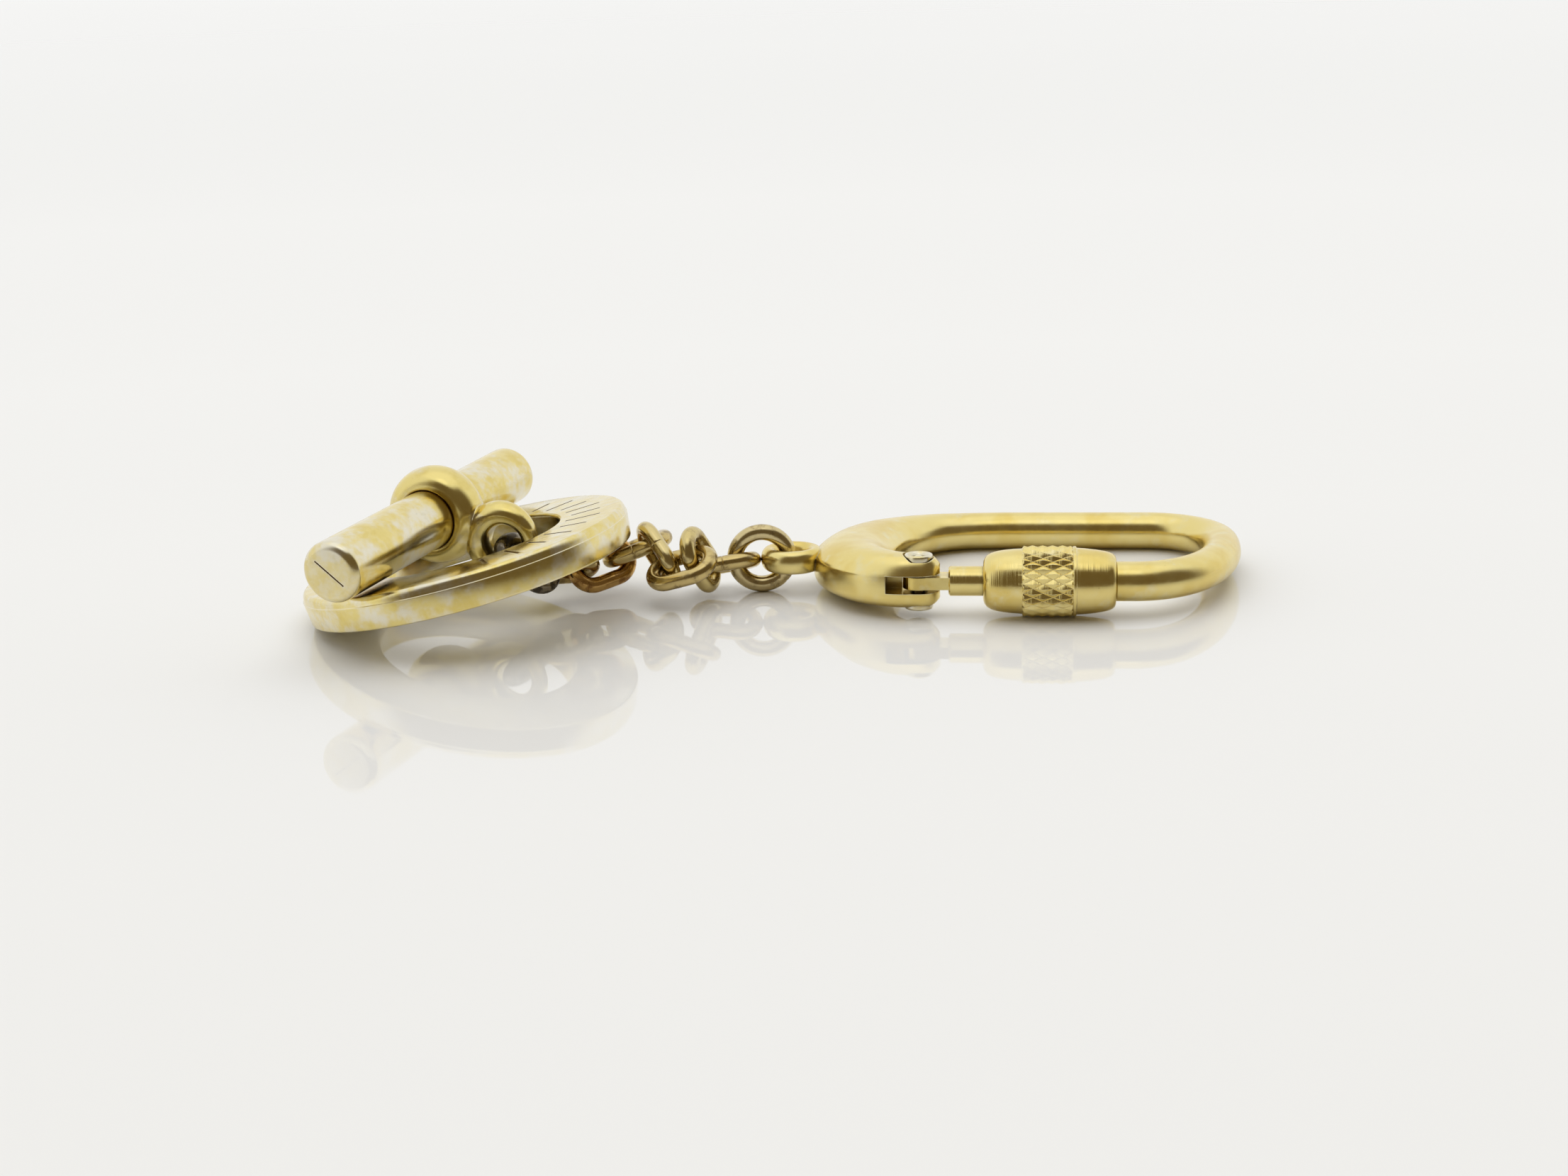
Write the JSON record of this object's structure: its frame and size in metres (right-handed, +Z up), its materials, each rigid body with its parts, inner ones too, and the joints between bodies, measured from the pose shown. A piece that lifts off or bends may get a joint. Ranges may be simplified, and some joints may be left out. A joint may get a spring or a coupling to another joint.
{
  "type": "toggle keyring",
  "caption": "Keyring with a screw-sleeve carabiner, a short oval-link chain and a flat disc ring held by a toggle bar laid across its hole.",
  "frame": {"origin": "centre of the part's box on the surface it lies on", "axes": "+X along the keyring towards the carabiner's rounded end, +Y away from the viewer across it, +Z up"},
  "size_m": [0.1146, 0.0522, 0.0179],
  "materials": {
    "satin_gold": "even satin gold plating",
    "chain_brass": "darker tarnished brass",
    "worn_gold": "gold plating worn through to pale metal on the edges",
    "rivet_silver": "pale bare metal"
  },
  "bodies": {
    "frame": {"frame": "satin_gold", "gate_pin": "rivet_silver"},
    "gate": {"gate_arm": "satin_gold"},
    "sleeve": {"screw_sleeve": "satin_gold"},
    "jump_ring": {"jump_ring": "chain_brass"},
    "chain_link_1": {"chain_link_1": "chain_brass"},
    "chain_link_2": {"chain_link_2": "chain_brass"},
    "chain_link_3": {"chain_link_3": "chain_brass"},
    "chain_link_4": {"chain_link_4": "chain_brass"},
    "chain_link_5": {"chain_link_5": "chain_brass"},
    "chain_link_6": {"chain_link_6": "chain_brass"},
    "chain_link_7": {"chain_link_7": "chain_brass"},
    "chain_link_8": {"chain_link_8": "chain_brass"},
    "toggle": {"toggle_collar": "worn_gold", "toggle_bar": "worn_gold"},
    "disc_ring": {"disc_ring": "worn_gold"}
  },
  "joints": [
    {"name": "gate_hinge", "type": "hinge", "parent": "frame", "child": "gate", "pos_m": [0.01747, -0.00423, 0.00427], "axis": [0, 0.068, 0.9977], "range_deg": [0, 16]},
    {"name": "sleeve_slide", "type": "slide", "parent": "gate", "child": "sleeve", "axis": [1, 0, 0], "range_m": [-0.0037, 0]},
    {"name": "jump_ring_hinge", "type": "hinge", "parent": "frame", "child": "jump_ring", "pos_m": [0.00137, 0.00529, 0.00423], "axis": [0, 0.068, 0.9977], "range_deg": [-20, 20]},
    {"name": "chain_link_1_hinge", "type": "hinge", "parent": "jump_ring", "child": "chain_link_1", "pos_m": [-0.00569, 0.00442, 0.00386], "axis": [-0.142, -0.0174, 0.9897], "range_deg": [-15, 8]},
    {"name": "chain_link_2_hinge", "type": "hinge", "parent": "chain_link_1", "child": "chain_link_2", "pos_m": [-0.00854, 0.00407, 0.00345], "axis": [-0.1751, 0.3231, 0.93], "range_deg": [-15, 8]},
    {"name": "chain_link_3_hinge", "type": "hinge", "parent": "chain_link_2", "child": "chain_link_3", "pos_m": [-0.01026, -0.00148, 0.00533], "axis": [-0.3176, -0.4244, 0.848], "range_deg": [-15, 6]},
    {"name": "chain_link_4_hinge", "type": "hinge", "parent": "chain_link_3", "child": "chain_link_4", "pos_m": [-0.013, -0.00111, 0.00449], "axis": [-0.3175, -0.3447, 0.8834], "range_deg": [-15, 6]},
    {"name": "chain_link_5_hinge", "type": "hinge", "parent": "chain_link_4", "child": "chain_link_5", "pos_m": [-0.01666, 0.00456, 0.00617], "axis": [-0.3631, 0.0202, 0.9315], "range_deg": [-15, 4]},
    {"name": "chain_link_6_hinge", "type": "hinge", "parent": "chain_link_5", "child": "chain_link_6", "pos_m": [-0.01936, 0.00439, 0.00513], "axis": [-0.3658, 0.1071, 0.9245], "range_deg": [-15, 4]},
    {"name": "chain_link_7_hinge", "type": "hinge", "parent": "chain_link_6", "child": "chain_link_7", "pos_m": [-0.0253, 0.00008, 0.00438], "axis": [-0.1731, 0.44, 0.8812], "range_deg": [-15, 3]},
    {"name": "chain_link_8_hinge", "type": "hinge", "parent": "chain_link_7", "child": "chain_link_8", "pos_m": [-0.02765, -0.00158, 0.00475], "axis": [-0.2674, 0.5537, 0.7886], "range_deg": [-15, 1]},
    {"name": "toggle_hinge", "type": "hinge", "parent": "chain_link_8", "child": "toggle", "pos_m": [-0.03269, -0.00322, 0.00891], "axis": [0.2504, 0.9681, 0], "range_deg": [-12, 1]},
    {"name": "disc_ring_turn", "type": "hinge", "parent": "toggle", "child": "disc_ring", "pos_m": [-0.03738, -0.00458, 0.00684], "axis": [-0.2316, 0.0599, 0.971], "continuous": true}
  ],
  "couplings": [
    {"joint": "sleeve_slide", "follows": "gate_hinge", "m_per_rad": -0.013249}
  ]
}
